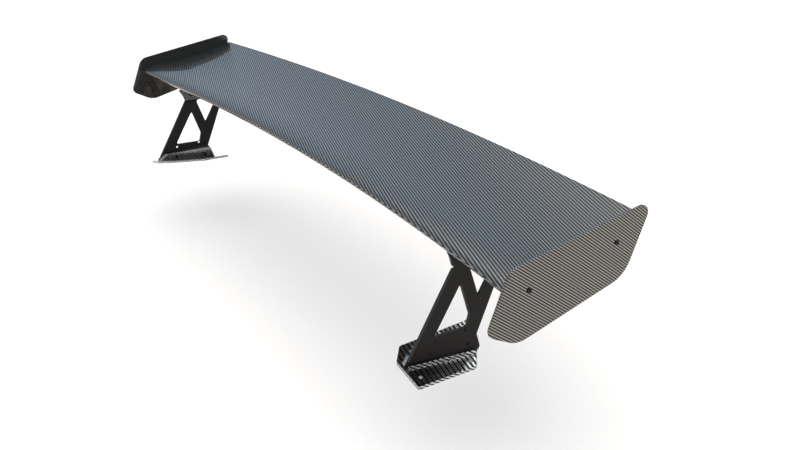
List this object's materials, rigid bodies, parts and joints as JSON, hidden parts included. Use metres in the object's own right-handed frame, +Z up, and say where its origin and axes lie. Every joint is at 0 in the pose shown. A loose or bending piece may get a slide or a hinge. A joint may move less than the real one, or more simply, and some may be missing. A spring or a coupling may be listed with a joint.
{
  "type": "racing rear wing",
  "caption": "Swept single-element carbon racing rear wing with flat end plates, on two open truss uprights with splayed bolt-down feet; its angle is adjustable.",
  "frame": {"origin": "centre of the bounding box's bottom face, level with the lowest edge of the feet", "axes": "+X along the span to the car's left, -Y forward (the nose of the wing), +Z up"},
  "size_m": [1.567, 0.3488, 0.2991],
  "materials": {
    "gloss_carbon": "clear-coated twill carbon laminate",
    "matt_carbon": "bare carbon laminate",
    "black_anodised": "satin black anodised plate",
    "black_steel": "black oxide",
    "zinc_steel": "zinc plated",
    "brass": "machined"
  },
  "bodies": {
    "base": {"foot_bolt_front_left": "black_steel", "foot_bolt_front_right": "black_steel", "foot_bolt_rear_left": "black_steel", "foot_bolt_rear_right": "black_steel", "foot_left": "gloss_carbon", "foot_right": "gloss_carbon", "foot_washer_front_left": "zinc_steel", "foot_washer_front_right": "zinc_steel", "foot_washer_rear_left": "zinc_steel", "foot_washer_rear_right": "zinc_steel", "pivot_bolt_left": "black_steel", "pivot_bolt_right": "black_steel", "pivot_nut_left": "black_steel", "pivot_nut_right": "black_steel", "upright_left": "black_anodised", "upright_right": "black_anodised"},
    "wing": {"angle_bolt_left": "black_steel", "angle_bolt_right": "black_steel", "angle_nut_left": "black_steel", "angle_nut_right": "black_steel", "angle_washer_left": "zinc_steel", "angle_washer_right": "zinc_steel", "endplate_left": "gloss_carbon", "endplate_right": "gloss_carbon", "plate_insert_front_left": "brass", "plate_insert_front_right": "brass", "plate_insert_rear_left": "brass", "plate_insert_rear_right": "brass", "plate_screw_front_left": "black_steel", "plate_screw_front_right": "black_steel", "plate_screw_rear_left": "black_steel", "plate_screw_rear_right": "black_steel", "rib_centre": "matt_carbon", "rib_end_left": "matt_carbon", "rib_end_right": "matt_carbon", "rib_inner_left": "matt_carbon", "rib_inner_right": "matt_carbon", "rib_mount_left": "gloss_carbon", "rib_mount_right": "gloss_carbon", "spar_tube": "matt_carbon", "wing_skin_lower": "gloss_carbon", "wing_skin_upper": "gloss_carbon"}
  },
  "joints": [
    {"name": "wing_angle", "type": "hinge", "parent": "base", "child": "wing", "pos_m": [0, -0.06447, 0.19302], "axis": [1, 0, 0], "range_deg": [0, 6]}
  ]
}
